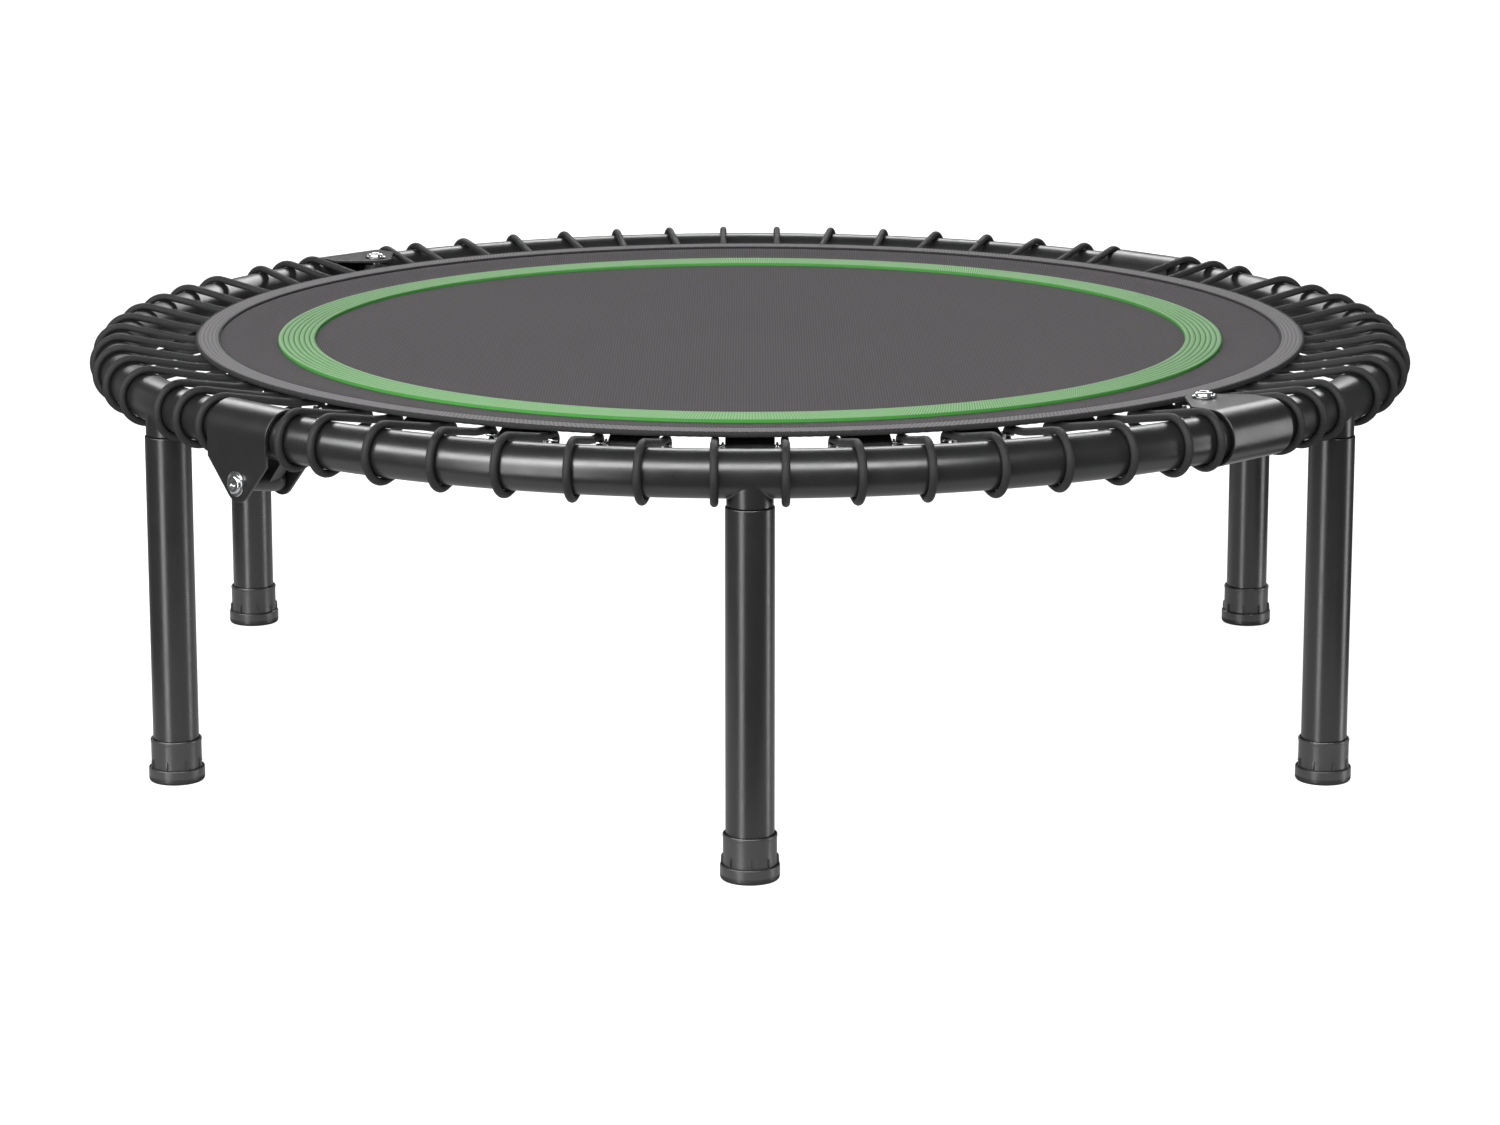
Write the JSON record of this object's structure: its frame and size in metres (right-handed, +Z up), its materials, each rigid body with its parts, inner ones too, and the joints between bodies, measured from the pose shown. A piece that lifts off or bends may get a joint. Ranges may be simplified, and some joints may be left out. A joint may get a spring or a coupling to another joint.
{
  "type": "mini trampoline",
  "caption": "Round fitness trampoline: elastic cords hang a round mat in a tubular ring on screw-on legs, with hinge brackets so the ring folds.",
  "frame": {"origin": "on the floor under the centre of the ring", "axes": "+Z up; -Y towards the leg nearest the viewer; the fold line runs through azimuths 45 and 225 degrees"},
  "size_m": [1.1558, 1.1558, 0.3457],
  "materials": {
    "frame_steel": "satin black powder coat",
    "chrome": "bright zinc or chrome plate",
    "rubber": "matt moulded rubber",
    "mat_fabric": "woven polypropylene with fine ribs",
    "hem_fabric": "sewn webbing hem",
    "green_webbing": "chevron webbing with stitch grooves",
    "black_webbing": "black webbing",
    "elastic_cord": "braided sleeve over rubber strands"
  },
  "bodies": {
    "half_back": {"frame_arc_back": "frame_steel", "frame_arc_left": "frame_steel", "bungee_back": "elastic_cord", "bungee_left": "elastic_cord", "leg_stub_4": "frame_steel", "leg_stub_5": "frame_steel", "leg_stub_6": "frame_steel", "leg_stud_4": "chrome", "leg_stud_5": "chrome", "leg_stud_6": "chrome", "fold_left_saddle": "frame_steel", "fold_left_bolt": "chrome", "fold_left_nut": "chrome", "fold_right_saddle": "frame_steel", "fold_right_bolt": "chrome", "fold_right_nut": "chrome", "flat_left_saddle": "frame_steel", "flat_left_lug": "frame_steel", "flat_left_bolt": "chrome", "flat_left_nut": "chrome"},
    "half_front": {"frame_arc_front": "frame_steel", "frame_arc_right": "frame_steel", "bungee_front": "elastic_cord", "bungee_right": "elastic_cord", "leg_stub_1": "frame_steel", "leg_stub_2": "frame_steel", "leg_stub_3": "frame_steel", "leg_stud_1": "chrome", "leg_stud_2": "chrome", "leg_stud_3": "chrome", "fold_left_lug": "frame_steel", "fold_right_lug": "frame_steel", "flat_right_saddle": "frame_steel", "flat_right_lug": "frame_steel", "flat_right_bolt": "chrome", "flat_right_nut": "chrome"},
    "mat_back": {"mat_back": "mat_fabric", "hem_back": "hem_fabric", "green_band_back": "green_webbing", "ring_strap_back": "black_webbing"},
    "mat_front": {"mat_front": "mat_fabric", "hem_front": "hem_fabric", "green_band_front": "green_webbing"},
    "ring_front": {"ring_strap_front": "black_webbing"},
    "leg_1": {"leg_tube_1": "frame_steel", "foot_1": "rubber"},
    "leg_2": {"leg_tube_2": "frame_steel", "foot_2": "rubber"},
    "leg_3": {"leg_tube_3": "frame_steel", "foot_3": "rubber"},
    "leg_4": {"leg_tube_4": "frame_steel", "foot_4": "rubber"},
    "leg_5": {"leg_tube_5": "frame_steel", "foot_5": "rubber"},
    "leg_6": {"leg_tube_6": "frame_steel", "foot_6": "rubber"}
  },
  "joints": [
    {"name": "half_fold", "type": "hinge", "parent": "half_back", "child": "half_front", "pos_m": [0, 0, 0.2795], "axis": [0.7071, 0.7071, 0], "range_deg": [0, 120]},
    {"name": "mat_bounce", "type": "slide", "parent": "half_back", "child": "mat_back", "axis": [0, 0, 1], "range_m": [-0.12, 0], "stiffness_N_per_m": 8000, "deforming": ["bungee_front", "bungee_right", "bungee_back", "bungee_left"]},
    {"name": "mat_fold", "type": "hinge", "parent": "mat_back", "child": "mat_front", "pos_m": [0, 0, 0.2795], "axis": [0.7071, 0.7071, 0], "range_deg": [0, 120]},
    {"name": "ring_bounce", "type": "slide", "parent": "half_front", "child": "ring_front", "axis": [0, 0, 1], "range_m": [-0.12, 0]},
    {"name": "leg_1_unscrew", "type": "slide", "parent": "half_front", "child": "leg_1", "axis": [0, 0, -1], "range_m": [0, 0.045]},
    {"name": "leg_2_unscrew", "type": "slide", "parent": "half_front", "child": "leg_2", "axis": [0, 0, -1], "range_m": [0, 0.045]},
    {"name": "leg_3_unscrew", "type": "slide", "parent": "half_front", "child": "leg_3", "axis": [0, 0, -1], "range_m": [0, 0.045]},
    {"name": "leg_4_unscrew", "type": "slide", "parent": "half_back", "child": "leg_4", "axis": [0, 0, -1], "range_m": [0, 0.045]},
    {"name": "leg_5_unscrew", "type": "slide", "parent": "half_back", "child": "leg_5", "axis": [0, 0, -1], "range_m": [0, 0.045]},
    {"name": "leg_6_unscrew", "type": "slide", "parent": "half_back", "child": "leg_6", "axis": [0, 0, -1], "range_m": [0, 0.045]}
  ],
  "couplings": [
    {"joint": "mat_fold", "follows": "half_fold", "ratio": 1},
    {"joint": "ring_bounce", "follows": "mat_bounce", "ratio": 1}
  ]
}
